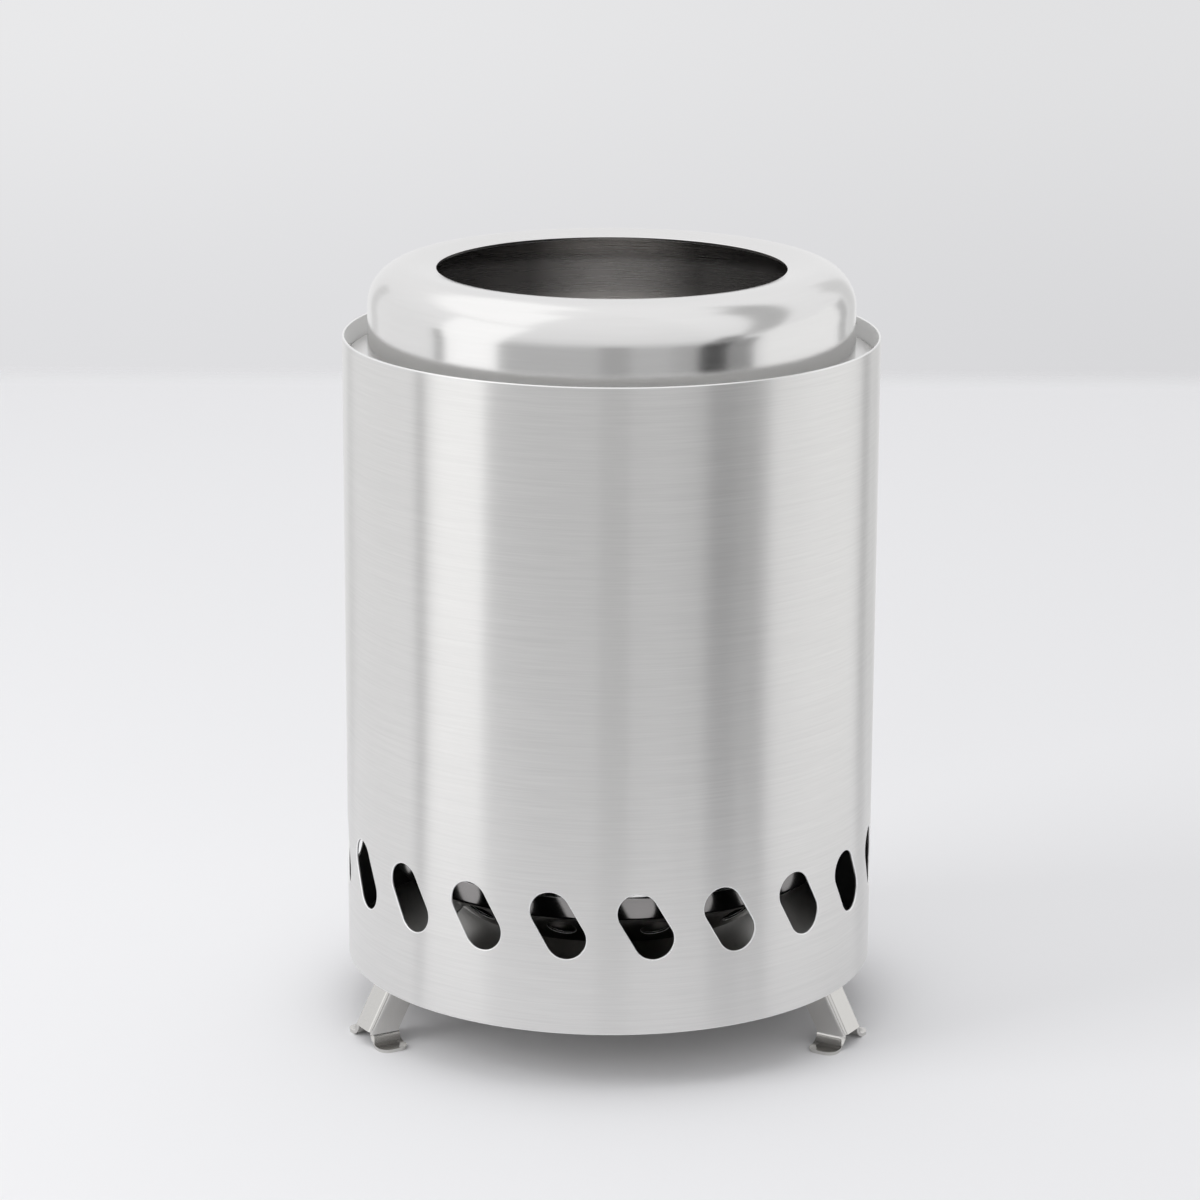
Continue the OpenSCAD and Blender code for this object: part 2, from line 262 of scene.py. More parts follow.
class StoveSettings(bpy.types.PropertyGroup):
    """All the settings of the stove and its studio."""

    wall: PointerProperty(type=WallSizes)
    chamber: PointerProperty(type=ChamberSizes)
    cup: PointerProperty(type=CupSizes)
    ring: PointerProperty(type=RingSizes)
    fire: PointerProperty(type=FirePieceSizes)
    stand: PointerProperty(type=StandSizes)
    finish: PointerProperty(type=FinishValues)
    stage: PointerProperty(type=StageValues)


def filleted(corners, radii, steps=8):
    """A path through corners, each inner corner rounded by an arc of its own radius.

    At a corner where the path turns by an angle a, the arc starts r * tan(a / 2) before it, and its points
    run round the arc's centre at equal steps of the turn.
    """
    corners = np.asarray(corners, float)
    pieces = [corners[:1]]
    for before, corner, after, r in zip(corners, corners[1:], corners[2:], radii):
        into = (corner - before) / np.hypot(*(corner - before))
        out = (after - corner) / np.hypot(*(after - corner))
        turn = math.atan2(into[0] * out[1] - into[1] * out[0], into @ out)
        side = math.copysign(1, turn)
        start = corner - into * r * math.tan(abs(turn) / 2)
        normal = side * np.array([-into[1], into[0]])
        a = np.linspace(0, abs(turn), steps + 1)[:, None]
        pieces.append(start + r * (np.sin(a) * into + (1 - np.cos(a)) * normal))
    pieces.append(corners[-1:])
    return np.concatenate(pieces)


def run_of(path):
    """Distance along a path at each of its points."""
    return np.concatenate([[0], np.cumsum(np.hypot(*np.diff(path, axis=0).T))])


def on_axis(path, heading, along):
    """Points of a profile turned round the stove's axis.

    A heading is measured from the front towards the right. At a distance s along the profile its radius is
    r(s) and its height z(s), and the point is (r sin h, axis - r cos h, z).
    """
    heading, along = np.broadcast_arrays(heading, along)
    run = run_of(path)
    r = np.interp(along, run, path[:, 0])
    z = np.interp(along, run, path[:, 1])
    return np.stack([r * np.sin(heading), AXIS_Y - r * np.cos(heading), z], axis=-1)


def patch(points, closed_rows=False, closed_cols=False):
    """Vertices and four-cornered faces of a grid of points of shape (rows, columns, 3)."""
    rows, cols = points.shape[:2]
    number = np.arange(rows * cols).reshape(rows, cols)
    if closed_rows:
        number = np.concatenate([number, number[:1]])
    if closed_cols:
        number = np.concatenate([number, number[:, :1]], axis=1)
    quads = np.stack([number[:-1, :-1], number[1:, :-1], number[1:, 1:], number[:-1, 1:]], axis=-1)
    return points.reshape(-1, 3), quads.reshape(-1, 4)


def joined(patches):
    """Several patches as one list of vertices and one of faces."""
    counts = np.cumsum([0] + [len(v) for v, _ in patches])
    vertices = np.concatenate([v for v, _ in patches])
    faces = np.concatenate([f + start for (_, f), start in zip(patches, counts)])
    return vertices, faces


def hoop(path, headings, along):
    """A closed band of a turned sheet as one patch, from its headings and its distances along the profile."""
    return patch(on_axis(path, headings[:, None], along[None, :]), closed_rows=True)


def turned(path, columns=288):
    """The whole surface that a profile sweeps round the axis, as one patch."""
    return hoop(path, np.linspace(-math.pi, math.pi, columns, endpoint=False), run_of(path))


def border_of(low, high, columns, rows):
    """Points round a rectangle, corner to corner, the same way round as a growing angle."""
    across = np.linspace(0, 1, columns, endpoint=False)
    up = np.linspace(0, 1, rows, endpoint=False)
    square = np.concatenate([
        np.stack([across, 0 * across], 1), np.stack([1 + 0 * up, up], 1),
        np.stack([1 - across, 1 + 0 * across], 1), np.stack([0 * up, 1 - up], 1),
    ])
    return low + square * (np.asarray(high) - low)


def slot_reach(direction, width, length_, lean):
    """Distance from a slot's centre to its edge in each direction.

    The slot is two straight sides at half its width, closed by half circles round centres at half its
    straight length. Its long axis leans to the left by the angle lean.
    """
    round_r = width / 2
    half = (length_ - width) / 2
    x = np.abs(np.cos(direction - lean))
    y = np.abs(np.sin(direction - lean))
    side = round_r / np.maximum(x, 1e-9)
    end = half * y + np.sqrt(np.maximum(round_r**2 - (half * x) ** 2, 0))
    return np.where(round_r * y <= half * x, side, end)


def cell(border, outline, rings):
    """Rings of points from a hole's outline to its cell's border, a little further apart near the hole."""
    weight = (np.arange(rings + 1) / rings)[:, None, None] ** 0.85
    return outline + (border - outline) * weight


def pierced(path, band, headings, step, hole, columns, rows, rings):
    """A band of a turned sheet with a row of holes, one in the middle of each cell.

    The band lies between two distances along the profile. In a cell, a border point's direction from the
    hole's centre gives the outline point that it is joined to, so every ring runs straight in. A distance
    u across the hole's flat pattern becomes a turn of asin(u / r), as a cutter's straight walls give.
    Returns the cells as patches, and the headings of the columns of points round the band's borders.
    """
    low, high = band
    middle = (low + high) / 2
    run = run_of(path)
    r = np.interp(middle, run, path[:, 0])
    border = border_of((-step / 2, low), (step / 2, high), columns, rows)
    direction = np.arctan2(border[:, 1] - middle, border[:, 0] * r)
    reach = slot_reach(direction, *hole)
    along = middle + reach * np.sin(direction)
    across = np.arcsin(reach * np.cos(direction) / np.interp(along, run, path[:, 0]))
    grid = cell(border, np.stack([across, along], 1), rings)
    cells = [patch(on_axis(path, h + grid[..., 0], grid[..., 1]), closed_cols=True) for h in headings]
    return cells, headings[0] - step / 2 + np.arange(columns * len(headings)) * step / columns


def sheet_piece(node, vertices, faces, thickness, body, slot, edge=None, inside=None, outside=None):
    """Makes the piece that stands for a node from the middle surface of its sheet.

    Doubles are merged, the sheet gets its thickness to both sides, and its cut edges are rounded. They shine
    with real reflections and with a painted highlight, as their colour is brighter than the sheet's.
    The modifiers are applied, so the piece is a plain closed mesh at the origin. The sheet's inner and outer
    faces may have a finish of their own.
    """
    name = node + "_sheet"
    mesh = bpy.data.meshes.new(name)
    mesh.from_pydata(vertices, [], faces)
    shape = bmesh.new()
    shape.from_mesh(mesh)
    bmesh.ops.remove_doubles(shape, verts=shape.verts, dist=WELD)
    bmesh.ops.recalc_face_normals(shape, faces=shape.faces)
    shape.to_mesh(mesh)
    shape.free()
    mesh.shade_smooth()
    for finish in (outside or slot, inside or slot, "cut_edge"):
        mesh.materials.append(finish_material(finish))
    piece = bpy.data.objects.new(name, mesh)
    bpy.context.scene.collection.objects.link(piece)
    wall = piece.modifiers.new("thickness", "SOLIDIFY")
    wall.thickness = thickness - 2 * REST_GAP
    wall.offset = 0
    wall.use_even_offset = True
    wall.material_offset = 1 if inside else 0
    wall.material_offset_rim = 1
    edges = piece.modifiers.new("deburred edges", "BEVEL")
    edges.width = edge or bpy.context.scene.twig_stove.finish.deburr
    edges.segments = 3 if edge else 2
    edges.material = 2  # the cut edge's, whose brighter colour is a painted highlight
    edges.limit_method = "ANGLE"
    edges.angle_limit = math.radians(50)
    edges.harden_normals = True
    solid = bpy.data.meshes.new_from_object(piece.evaluated_get(bpy.context.evaluated_depsgraph_get()))
    piece.modifiers.clear()
    piece.data = solid
    bpy.data.meshes.remove(mesh)
    solid.name = name
    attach(piece, body)
    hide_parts(node)


class Shader:
    """The node tree of a new material or world, with short calls that add a node and link its inputs."""

    def __init__(self, name, kind="materials"):
        self.owner = getattr(bpy.data, kind).new(name)
        self.owner.use_nodes = True
        self.tree = self.owner.node_tree
        self.tree.nodes.clear()

    def node(self, kind, inputs=(), **values):
        """Adds a node, sets its properties, and links or sets its inputs."""
        made = self.tree.nodes.new(kind)
        for key, value in values.items():
            setattr(made, key, value)
        for key, value in dict(inputs).items():
            if isinstance(value, bpy.types.NodeSocket):
                self.tree.links.new(value, made.inputs[key])
            else:
                made.inputs[key].default_value = value
        return made

    def maths(self, operation, *terms):
        """The result of a Math node."""
        return self.node("ShaderNodeMath", dict(enumerate(terms)), operation=operation).outputs[0]

    def vector(self, operation, *terms):
        """The vector result of a Vector Math node."""
        return self.node("ShaderNodeVectorMath", dict(enumerate(terms)), operation=operation).outputs[0]

    def scaled(self, value, factor):
        """A colour or a vector times a number."""
        return self.node("ShaderNodeVectorMath", {0: value, "Scale": factor}, operation="SCALE").outputs[0]

    def noise(self, where, scale=1.0, detail=2.0, roughness=0.5):
        """The value of a Noise Texture."""
        inputs = {"Vector": where, "Scale": scale, "Detail": detail, "Roughness": roughness}
        return self.node("ShaderNodeTexNoise", inputs).outputs[0]

    def ramp(self, value, start, end, low=0.0, high=1.0, kind="SMOOTHSTEP"):
        """A value carried from the range start to end to the range low to high."""
        inputs = {"Value": value, "From Min": start, "From Max": end, "To Min": low, "To Max": high}
        return self.node("ShaderNodeMapRange", inputs, interpolation_type=kind).outputs[0]

    def spread(self, noise, low, high):
        """A noise's usual range carried to the range from low to high."""
        return self.ramp(noise, 0.3, 0.7, low, high, "LINEAR")

    def blend(self, share_of, first, second):
        """The first colour where the share is 0 and the second where it is 1."""
        return self.node("ShaderNodeMix", {0: share_of, 6: first, 7: second}, data_type="RGBA").outputs[2]

    def mixed(self, share_of, first, second):
        """The first shader where the share is 0 and the second where it is 1."""
        return self.node("ShaderNodeMixShader", {0: share_of, 1: first, 2: second}).outputs[0]

    def glow(self, radiance):
        """A white light of a given radiance."""
        return self.node("ShaderNodeEmission", {"Color": (radiance,) * 3 + (1,), "Strength": 1.0}).outputs[0]

    def output(self, shader):
        """Links the finished shader to the material's output and returns the material."""
        self.node("ShaderNodeOutputMaterial", {"Surface": shader})
        return self.owner


BRUSH_LINES = ((2, 1500), (6, 4000))  # sets of lines: noise cells round the axis, and per metre across them
BRUSH_POLISH = 0.015  # how far the lines change the roughness to either side
SMEARS = 28.0  # noise cells per metre
SMEAR_POLISH = 0.01
HEAT_CELLS = 1.7  # noise cells along the heading's unit vector
QUARTER_TURN = 0.25  # draws the reflections out across the lines
GRAIN = (4200, 4200, 260)  # noise cells per metre along x, y and z
GRAIN_POLISH = 0.03
CLOUDS = 60.0  # noise cells per metre
CLOUD_POLISH = 0.02
# depth below the gutter over which the painted shade of the space between the walls sets in
PAINTED_SHADE_DEPTH = 6 * MM

BRUSHED = {  # stretch of the reflections, contrast and relief in millimetres of the lines, and heat patches
    "brushed_wall": (1.0, 0.04, 0.0001, 0.0),
    "gutter_floor": (0.4, 0.02, 0.0001, 0.0),
    "chamber_outside": (0.4, 0.02, 0.0001, 0.0),
    "cup_outside": (0.4, 0.02, 0.0001, 0.0),
    "spun_dome": (0.4, 0.015, 0.0001, 0.0),
    "dome_inside": (1.0, 0.01, 0.00002, 0.6),
    "pressed_parts": (0.4, 0.03, 0.0003, 0.0),
    "chamber_sheet": (0.5, 0.03, 0.0001, 0.0),
}
ROLLED = {  # contrast and relief in millimetres of the grain
    "stand_sheet": (0.02, 0.0008),
    "cut_edge": (0.02, 0.0002),
}


def brushed_round(name, tint, rough, stretch, contrast, relief, patches):
    """Steel brushed round the stove's axis.

    The brush lines are noise that is drawn out along the heading and packed closely along z - r, so they
    run level on a wall and in circles on a flat. They vary the shade and the polish, and lift the surface.
    Heat patches, where there are any, change slowly with the heading alone.
    """
    s = Shader(name)
    place = s.node("ShaderNodeTexCoord").outputs["Object"]
    centred = s.vector("ADD", place, (0, -AXIS_Y, 0))
    level = s.vector("MULTIPLY", centred, (1, 1, 0))
    heading = s.vector("NORMALIZE", level)
    radius = s.node("ShaderNodeVectorMath", {0: level}, operation="LENGTH").outputs["Value"]
    height = s.node("ShaderNodeSeparateXYZ", {0: centred}).outputs["Z"]
    profile = s.maths("SUBTRACT", height, radius)
    lines = []
    for round_count, line_count in BRUSH_LINES:
        up = s.node("ShaderNodeCombineXYZ", {"Z": s.maths("MULTIPLY", profile, line_count)}).outputs[0]
        lines.append(s.noise(s.vector("MULTIPLY_ADD", heading, (round_count,) * 3, up), detail=1.0))
    brush = s.maths("MULTIPLY_ADD", lines[1], 0.5, s.maths("MULTIPLY", lines[0], 0.5))
    smear = s.noise(centred, SMEARS, detail=3.0)
    shade = s.spread(brush, 1 - contrast, 1 + contrast)
    if patches:
        heat = s.noise(s.vector("MULTIPLY", heading, (HEAT_CELLS, HEAT_CELLS, 0)), detail=0.0)
        shade = s.maths("MULTIPLY", shade, s.spread(heat, 1 - patches, 1 + patches))
    polish = s.maths("ADD", s.spread(brush, rough - BRUSH_POLISH, rough + BRUSH_POLISH),
                     s.spread(smear, -SMEAR_POLISH, SMEAR_POLISH))
    bump = s.node("ShaderNodeBump", {"Height": brush, "Distance": relief * MM, "Strength": 1.0})
    tangent = s.node("ShaderNodeVectorMath", {0: (0, 0, 1), 1: level}, operation="CROSS_PRODUCT")
    steel = s.node("ShaderNodeBsdfPrincipled", {
        "Base Color": s.scaled(tuple(tint), shade), "Metallic": 1.0, "Roughness": polish,
        "Normal": bump.outputs[0], "Tangent": tangent.outputs[0], "Anisotropic": stretch,
        "Anisotropic Rotation": QUARTER_TURN,
    })
    return s.output(steel.outputs[0])


def rolled_sheet(name, tint, rough, contrast, relief):
    """Cold-rolled sheet with a satin finish: fine short grain that runs up and down, and soft cloudiness."""
    s = Shader(name)
    place = s.node("ShaderNodeTexCoord").outputs["Object"]
    grain = s.noise(s.vector("MULTIPLY", place, GRAIN), roughness=0.6)
    cloud = s.noise(place, CLOUDS, detail=3.0)
    polish = s.maths("ADD", s.spread(grain, rough - GRAIN_POLISH, rough + GRAIN_POLISH),
                     s.spread(cloud, -GRAIN_POLISH, GRAIN_POLISH))
    bump = s.node("ShaderNodeBump", {"Height": grain, "Distance": relief * MM, "Strength": 1.0})
    steel = s.node("ShaderNodeBsdfPrincipled", {
        "Base Color": s.scaled(tuple(tint), s.spread(grain, 1 - contrast, 1 + contrast)),
        "Metallic": 1.0, "Roughness": polish, "Normal": bump.outputs[0],
    })
    return s.output(steel.outputs[0])


def cavity_sheet(name, tint, rough, shade):
    """Matt sheet, bright above the gutter and darker below it, where the air from the vents passes.

    The darkening is painted shade of the closed space between the walls. It goes from 1 to its low value
    between the gutter's underside and a given depth below it.
    """
    s = Shader(name)
    place = s.node("ShaderNodeTexCoord").outputs["Object"]
    height = s.node("ShaderNodeSeparateXYZ", {0: place}).outputs["Z"]
    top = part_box("gutter_ring")[0].z
    # painted shade: the inner side darkens below the gutter, where the closed space between the walls gets
    # little light
    painted_shade = s.ramp(height, top - PAINTED_SHADE_DEPTH, top, shade, 1.0, "LINEAR")
    cloud = s.noise(place, CLOUDS, detail=3.0)
    polish = s.spread(cloud, rough - CLOUD_POLISH, rough + CLOUD_POLISH)
    steel = s.node("ShaderNodeBsdfPrincipled", {
        "Base Color": s.scaled(tuple(tint), painted_shade), "Metallic": 1.0, "Roughness": polish,
    })
    return s.output(steel.outputs[0])


def finish_material(slot):
    """The material of a finish slot, made once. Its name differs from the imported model's own material."""
    name = slot + "_steel"
    made = bpy.data.materials.get(name)
    if made:
        return made
    values = bpy.context.scene.twig_stove.finish
    tint = getattr(values, slot + "_colour")
    rough = getattr(values, slot + "_rough")
    if slot in BRUSHED:
        return brushed_round(name, tint, rough, *BRUSHED[slot])
    if slot in ROLLED:
        return rolled_sheet(name, tint, rough, *ROLLED[slot])
    return cavity_sheet(name, tint, rough, values.painted_cavity_shade)


def make_piece(node, path, thickness, body, slot, columns=288, **finishes):
    """Makes the turned piece that stands for a node."""
    vertices, faces = turned(np.asarray(path), columns)
    sheet_piece(node, vertices, faces, thickness, body, slot, **finishes)


class STOVE_OT_outer_wall(bpy.types.Operator):
    """Make the rolled outer wall with its leaning vent slots and its seam"""

    bl_idname = "stove.outer_wall"
    bl_label = "Outer wall"

    def execute(self, context):
        v = context.scene.twig_stove.wall
        radius = outer_radius("outer_wall")
        middle_r = radius - v.sheet / 2
        step = (2 * math.pi - v.seam_strip / radius) / v.slot_count
        path = np.array([(middle_r, WALL_LOW.z), (middle_r, WALL_HIGH.z)])
        band = (v.slot_height - v.cell_height / 2, v.slot_height + v.cell_height / 2)
        headings = v.slot_turn + step * (np.arange(v.slot_count) - v.slot_count // 2)
        hole = (v.slot_width, v.slot_length, v.slot_lean)
        patches, around = pierced(path, band, headings, step, hole, columns=24, rows=20, rings=6)

        seam = headings[-1] + step / 2 + np.linspace(0, 1, 29) * v.seam_strip / radius
        around = np.concatenate([around, seam[:-1]])
        for start, end, rows in ((0, band[0], 5), (band[1], WALL_HIGH.z - WALL_LOW.z, 21)):
            patches.append(hoop(path, around, np.linspace(start, end, rows)))
        along = np.linspace(*band, 21)
        patches.append(patch(on_axis(path, seam[:, None], along[None, :])))
        vertices, faces = joined(patches)

        heading = np.arctan2(vertices[:, 0], AXIS_Y - vertices[:, 1])
        off = (heading - seam.mean() + math.pi) % (2 * math.pi) - math.pi
        lift = v.seam_height * np.exp(-((off * radius / (v.seam_width / 2)) ** 2))
        vertices[:, 0] += lift * np.sin(heading)
        vertices[:, 1] -= lift * np.cos(heading)
        sheet_piece("outer_wall", vertices, faces, v.sheet, "stove", "brushed_wall",
                    edge=v.slot_edge, inside="wall_inside")
        return {"FINISHED"}


class STOVE_OT_gutter(bpy.types.Operator):
    """Make the pressed ring that joins the two walls and forms the gutter's floor"""

    bl_idname = "stove.gutter"
    bl_label = "Gutter ring"

    def execute(self, context):
        v = context.scene.twig_stove.chamber
        low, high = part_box("gutter_ring")
        half = v.gutter_sheet / 2
        outside = outer_radius("gutter_ring") - half
        inside = outer_radius("inner_wall") + v.inner_gap + half
        corners = [(outside, low.z), (outside, high.z - half), (inside, high.z - half), (inside, low.z)]
        path = filleted(corners, (v.gutter_bend, v.gutter_bend))
        make_piece("gutter_ring", path, v.gutter_sheet, "stove", "brushed_wall", outside="gutter_floor")
        return {"FINISHED"}


class STOVE_OT_inner_wall(bpy.types.Operator):
    """Make the fire chamber's tube with its row of secondary air holes"""

    bl_idname = "stove.inner_wall"
    bl_label = "Inner wall"

    def execute(self, context):
        v = context.scene.twig_stove.chamber
        low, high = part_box("inner_wall")
        r = outer_radius("inner_wall") - v.sheet / 2
        path = np.array([(r, low.z), (r, high.z)])
        middle = high.z - low.z - v.hole_drop
        band = (middle - v.cell_height / 2, middle + v.cell_height / 2)
        step = 2 * math.pi / v.hole_count
        headings = step * (np.arange(v.hole_count) + 0.5) + math.pi / 2
        hole = (v.hole_width, v.hole_width, 0)
        patches, around = pierced(path, band, headings, step, hole, columns=10, rows=8, rings=4)
        for start, end, rows in ((0, band[0], 13), (band[1], high.z - low.z, 4)):
            patches.append(hoop(path, around, np.linspace(start, end, rows)))
        vertices, faces = joined(patches)
        sheet_piece("inner_wall", vertices, faces, v.sheet, "stove", "chamber_sheet",
                    outside="chamber_outside")
        return {"FINISHED"}


class STOVE_OT_ember_cup(bpy.types.Operator):
    """Make the pressed cup under the chamber with its ring of draught holes"""

    bl_idname = "stove.ember_cup"
    bl_label = "Ember cup"

    def execute(self, context):
        v = context.scene.twig_stove.cup
        low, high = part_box("ember_cup")
        half = v.sheet / 2
        slope = math.atan2(v.ledge_height, v.cone_width)
        draw_in = half * math.tan(slope / 2)
        rim = outer_radius("ember_cup") - half
        ledge = outer_radius("ember_cup") - v.sheet - v.ledge_width - draw_in
        floor = ledge - v.cone_width
        floor_z = low.z + half
        ledge_z = floor_z + v.ledge_height
        corners = [(0, floor_z), (floor, floor_z), (ledge, ledge_z), (rim, ledge_z), (rim, high.z)]
        path = filleted(corners, (v.soft_bend, v.soft_bend * 0.4, v.rim_bend))
        run = run_of(path)
        bend_start, bend_end = run[1], run[9]  # the cone's lower bend is the points 1 to 9 of the path
        cone_length = math.hypot(v.cone_width, v.ledge_height)
        cone_middle = bend_end - v.soft_bend * math.tan(slope / 2) + cone_length / 2
        band = (cone_middle - v.cell_length / 2, cone_middle + v.cell_length / 2)
        step = 2 * math.pi / v.hole_count
        headings = step * (np.arange(v.hole_count) + 0.5) + math.pi / 2
        hole = (v.hole_width, v.hole_width, 0)
        patches, around = pierced(path, band, headings, step, hole, columns=24, rows=10, rings=6)
        before = run[(run >= bend_start) & (run < band[0])]
        inner = np.concatenate([np.linspace(0, bend_start, 5)[:-1], before, [band[0]]])
        outer = np.concatenate([[band[1]], run[run > band[1]]])
        patches += [hoop(path, around, inner), hoop(path, around, outer)]
        vertices, faces = joined(patches)
        # the cup's outer side is dark with painted shade of the closed space between the walls
        sheet_piece("ember_cup", vertices, faces, v.sheet, "stove", "chamber_sheet", outside="cup_outside")
        return {"FINISHED"}


class STOVE_OT_flame_ring(bpy.types.Operator):
    """Make the spun flame ring and the stepped collar inside it"""

    bl_idname = "stove.flame_ring"
    bl_label = "Flame ring"

    def execute(self, context):
        v = context.scene.twig_stove.ring
        low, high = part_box("flame_ring")
        half = v.sheet / 2
        side = outer_radius("flame_ring")
        crest = side - v.shoulder
        shoulder_turn = np.linspace(0, math.pi / 2, 33)
        dip = math.asin((v.mouth_inset - v.shoulder) / v.crown)
        crown_turn = np.linspace(0, dip, 13)[1:]
        wall_z = np.linspace(low.z, high.z - v.shoulder, 9)[:-1]
        path = np.concatenate([
            np.stack([np.full_like(wall_z, side - half), wall_z], 1),
            np.stack([
                crest + (v.shoulder - half) * np.cos(shoulder_turn),
                high.z - v.shoulder + (v.shoulder - half) * np.sin(shoulder_turn),
            ], 1),
            np.stack([
                crest - (v.crown - half) * np.sin(crown_turn),
                high.z - v.crown + (v.crown - half) * np.cos(crown_turn),
            ], 1),
        ])
        make_piece("flame_ring", path, v.sheet, "ring", "spun_dome", columns=384, inside="dome_inside")

        low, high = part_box("ring_collar")
        step_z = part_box("flame_ring")[0].z + half
        flange = outer_radius("ring_collar") - half
        spigot = flange - v.collar_inset
        corners = [(spigot, low.z), (spigot, step_z), (flange, step_z), (flange, high.z)]
        path = filleted(corners, (v.collar_bend, v.collar_bend))
        make_piece("ring_collar", path, v.sheet, "ring", "pressed_parts")
        return {"FINISHED"}


class STOVE_OT_fire_grate(bpy.types.Operator):
    """Make the perforated grate with its turned-down skirt"""

    bl_idname = "stove.fire_grate"
    bl_label = "Fire grate"

    def execute(self, context):
        v = context.scene.twig_stove.fire
        low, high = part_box("fire_grate")
        half = v.grate_sheet / 2
        top = high.z - half
        edge_r = outer_radius("fire_grate") - half
        rings = int((edge_r + half - v.grate_sheet - v.grate_hole) / v.grate_pitch)
        steps = 24 * math.lcm(*range(1, rings + 1))  # can be divided by the 6 k holes of every ring k

        def flat(points):
            """Points of the grate's flat, from their plan."""
            return np.stack([points[..., 0], AXIS_Y + points[..., 1], np.full(points.shape[:-1], top)], -1)

        def circle(r, a):
            """Points at angle a on a circle round the axis."""
            return np.stack([r * np.cos(a), r * np.sin(a)], -1)

        around = np.arange(steps) * 2 * math.pi / steps
        middle = cell(circle(v.grate_pitch / 2, around), circle(v.grate_hole / 2, around), rings=4)
        patches = [patch(flat(middle), closed_cols=True)]
        for k in range(1, rings + 1):
            half_turn = math.pi / 6 / k
            polar = border_of((-half_turn, (k - 0.5) * v.grate_pitch), (half_turn, (k + 0.5) * v.grate_pitch),
                              columns=steps // (6 * k), rows=8)
            border = circle(polar[:, 1], polar[:, 0])
            centre = np.array([k * v.grate_pitch, 0])
            direction = np.arctan2(*(border - centre).T[::-1])
            grid = cell(border, centre + circle(v.grate_hole / 2, direction), rings=4)
            for turn in np.arange(6 * k) * 2 * half_turn:
                rotation = np.array([[math.cos(turn), math.sin(turn)], [-math.sin(turn), math.cos(turn)]])
                patches.append(patch(flat(grid @ rotation), closed_cols=True))
        edge_path = filleted([((rings + 0.5) * v.grate_pitch, top), (edge_r, top), (edge_r, low.z)],
                             (v.grate_bend,))
        patches.append(hoop(edge_path, around, run_of(edge_path)))
        vertices, faces = joined(patches)
        sheet_piece("fire_grate", vertices, faces, v.grate_sheet, "grate", "chamber_sheet")
        return {"FINISHED"}


class STOVE_OT_ash_pan(bpy.types.Operator):
    """Make the shallow ash pan"""

    bl_idname = "stove.ash_pan"
    bl_label = "Ash pan"

    def execute(self, context):
        v = context.scene.twig_stove.fire
        low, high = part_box("ash_pan")
        half = v.pan_sheet / 2
        brim = outer_radius("ash_pan") - half
        corners = [(0, low.z + half), (brim - v.pan_spread, low.z + half), (brim, high.z)]
        make_piece("ash_pan", filleted(corners, (v.pan_bend,)), v.pan_sheet, "pan", "pressed_parts")
        return {"FINISHED"}


class STOVE_OT_base_plate(bpy.types.Operator):
    """Make the plate that closes the stove's bottom"""

    bl_idname = "stove.base_plate"
    bl_label = "Base plate"

    def execute(self, context):
        v = context.scene.twig_stove.fire
        stand = context.scene.twig_stove.stand
        low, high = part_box("base_plate")
        half = v.base_sheet / 2
        step = outer_radius("stand_ring") - stand.ring_width - v.base_raise_gap
        top = high.z - half
        flat = top - v.base_raise
        edge_r = outer_radius("base_plate") - half
        corners = [(0, top), (step - v.base_raise, top), (step, flat), (edge_r, flat), (edge_r, low.z)]
        path = filleted(corners, (v.base_bend,) * 3)
        make_piece("base_plate", path, v.base_sheet, "stove", "pressed_parts")
        return {"FINISHED"}


